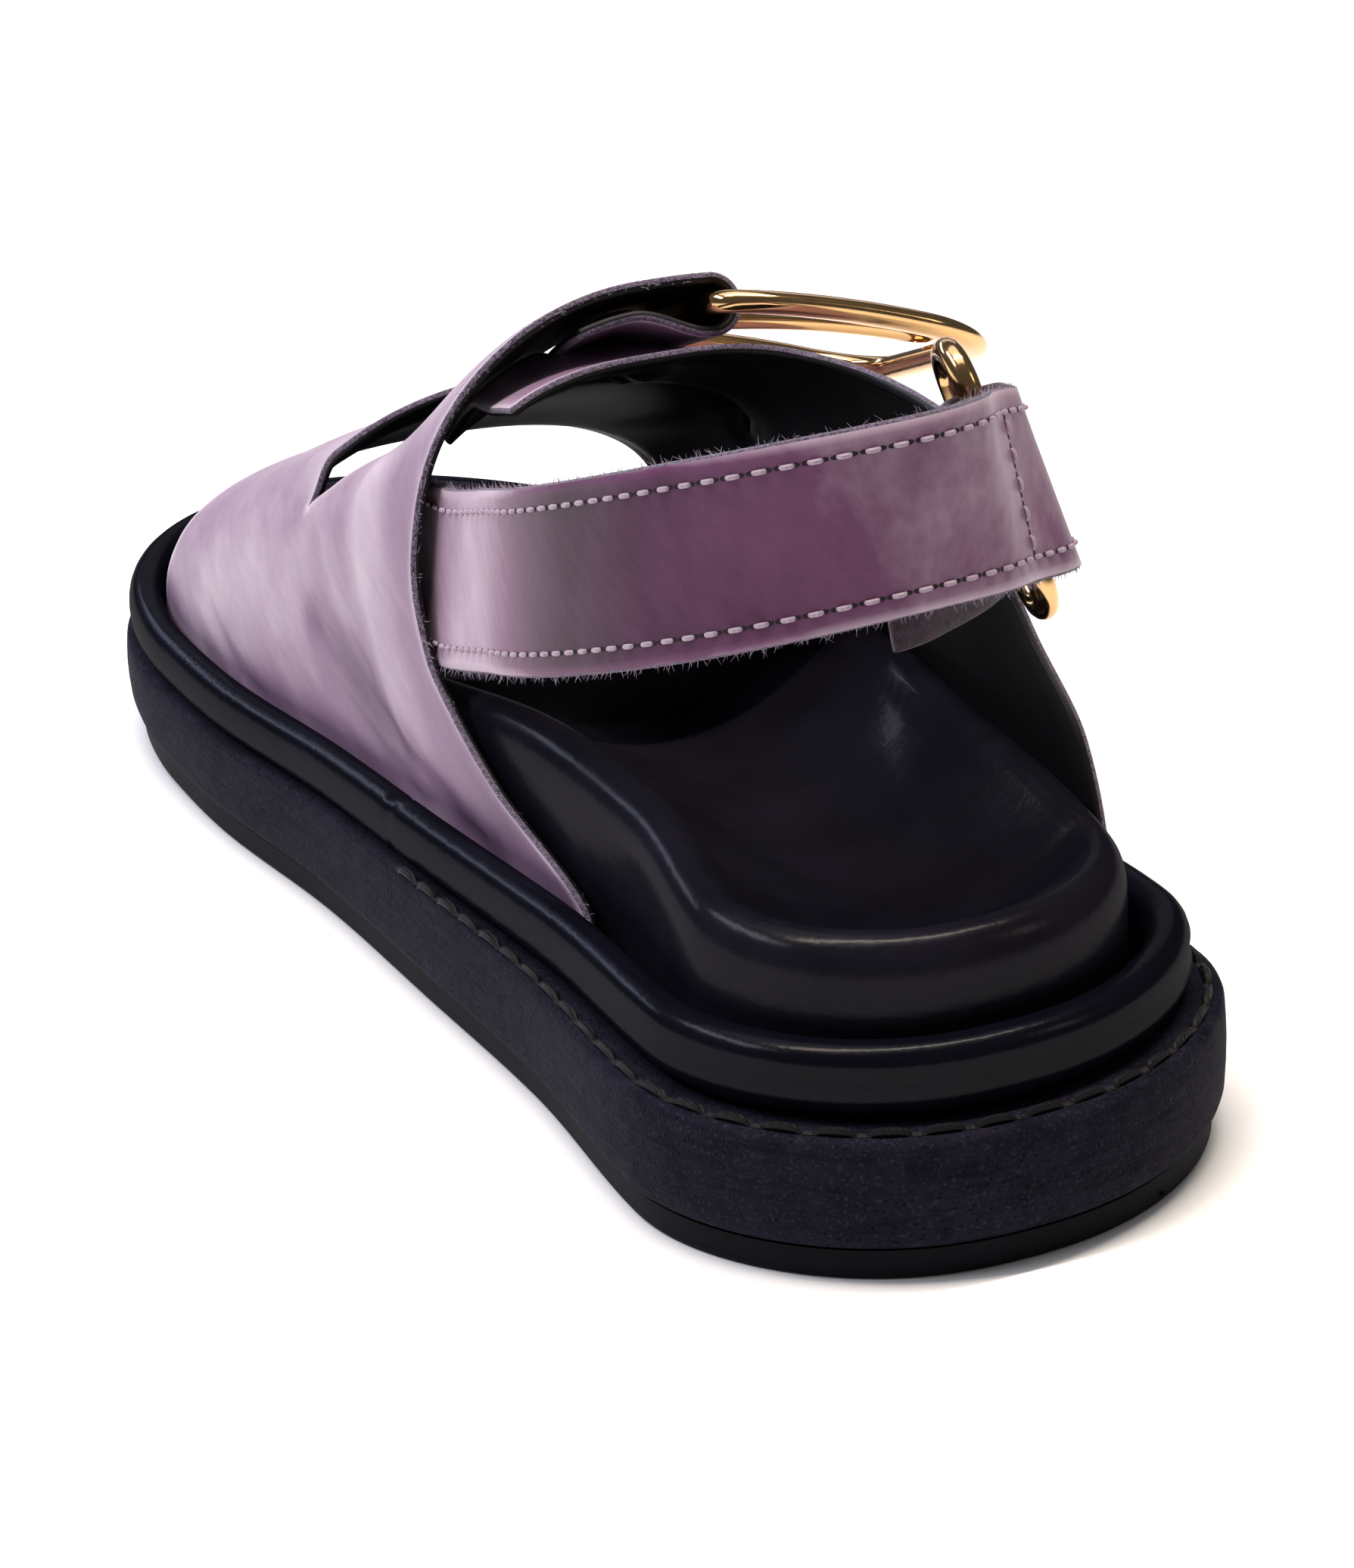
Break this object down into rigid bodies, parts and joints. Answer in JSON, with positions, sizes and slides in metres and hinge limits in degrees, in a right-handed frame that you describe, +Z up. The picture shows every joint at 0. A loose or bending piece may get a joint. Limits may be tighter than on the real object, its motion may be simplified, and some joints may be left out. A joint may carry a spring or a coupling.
{
  "type": "leather sandal",
  "caption": "Right-foot leather sandal: wrapped footbed on a foam platform sole, wide toe band, buckled instep strap, and a heel strap looped through a metal ring.",
  "frame": {"origin": "bottom centre of the sandal's box, on the floor under the sole", "axes": "+Y from heel to toe, +X to the outer side of the foot, +Z up"},
  "size_m": [0.0959, 0.255, 0.1004],
  "materials": {
    "tread_rubber": "matt moulded, fine pyramid tread",
    "foam_rubber": "matt pitted foam",
    "black_leather": "smooth satin",
    "lilac_leather": "waxed pull-up, raw cut edges",
    "gilt_metal": "polished gilt"
  },
  "bodies": {
    "root": {"tread": "tread_rubber", "slab": "foam_rubber", "rand": "black_leather", "footbed": "black_leather", "upper": "lilac_leather", "back_strap": "lilac_leather", "ring_loop": "lilac_leather", "ring": "gilt_metal", "buckle_frame": "gilt_metal", "buckle_prong": "gilt_metal", "toe_strap_end": "lilac_leather"}
  },
  "joints": []
}
